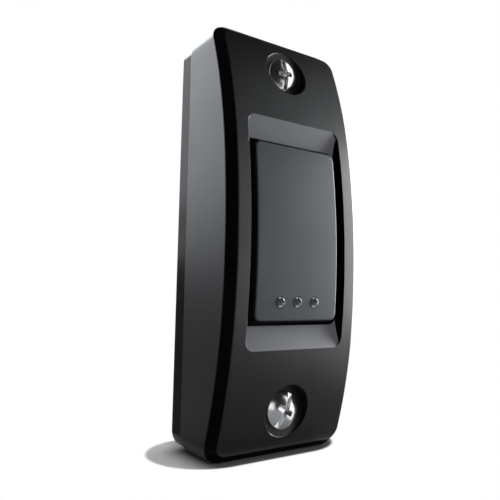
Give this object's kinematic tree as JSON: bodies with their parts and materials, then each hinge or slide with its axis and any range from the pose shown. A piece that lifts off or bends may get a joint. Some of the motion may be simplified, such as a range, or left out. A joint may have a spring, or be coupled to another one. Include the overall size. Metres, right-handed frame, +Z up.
{
  "type": "garage door wall button",
  "caption": "Bow-fronted wall push button for a garage door, with a rocking button, lit tips and two screw posts.",
  "frame": {"origin": "on the wall plane, midway between the two mounting screws", "axes": "+X to the right seen from the front, +Y into the wall, +Z up along the line of the mounting screws"},
  "size_m": [0.0394, 0.0328, 0.1046],
  "materials": {
    "cover_plastic": "satin black moulded ABS with glossy bevels",
    "base_plastic": "fine-textured black moulded ABS",
    "button_plastic": "satin smoke-grey moulded ABS",
    "clear_smoke_plastic": "glossy smoke-tinted clear plastic",
    "zinc_steel": "bright zinc-plated steel",
    "board_laminate": "green solder mask on glass laminate",
    "switch_plastic": "black nylon",
    "tinned_steel": "tinned",
    "led_resin": "clear amber epoxy",
    "chip_resin": "moulded epoxy",
    "capacitor_aluminium": "bare can",
    "terminal_brass": "bare brass"
  },
  "bodies": {
    "housing": {"front_cover": "cover_plastic", "rear_base": "base_plastic", "mounting_screw_top": "zinc_steel", "mounting_screw_bottom": "zinc_steel", "circuit_board": "board_laminate", "board_screw_left": "zinc_steel", "board_screw_right": "zinc_steel", "switch_body": "switch_plastic", "switch_cover_plate": "tinned_steel", "switch_dome": "tinned_steel", "switch_pins": "tinned_steel", "indicator_led": "led_resin", "led_leads": "tinned_steel", "microcontroller": "chip_resin", "microcontroller_leads": "tinned_steel", "bridge_rectifier": "chip_resin", "bridge_rectifier_leads": "tinned_steel", "signal_transistor": "chip_resin", "signal_transistor_leads": "tinned_steel", "chip_resistors": "chip_resin", "filter_capacitor": "capacitor_aluminium", "filter_capacitor_leads": "tinned_steel", "terminal_plate_left": "terminal_brass", "terminal_plate_right": "terminal_brass", "terminal_screw_left": "terminal_brass", "terminal_screw_right": "zinc_steel"},
    "button": {"push_button": "button_plastic", "light_pipe": "clear_smoke_plastic"},
    "switch_stem": {"switch_plunger": "switch_plastic"}
  },
  "joints": [
    {"name": "button_press", "type": "hinge", "parent": "housing", "child": "button", "pos_m": [0, -0.0192, 0.0179], "axis": [1, 0, 0], "range_deg": [0, 1], "stiffness_Nm_per_rad": 1.7, "springref_deg": -0.17},
    {"name": "plunger_travel", "type": "slide", "parent": "housing", "child": "switch_stem", "axis": [0, 1, 0], "range_m": [0, 0.0003]}
  ],
  "couplings": [
    {"joint": "plunger_travel", "follows": "button_press", "m_per_rad": 0.0171}
  ]
}
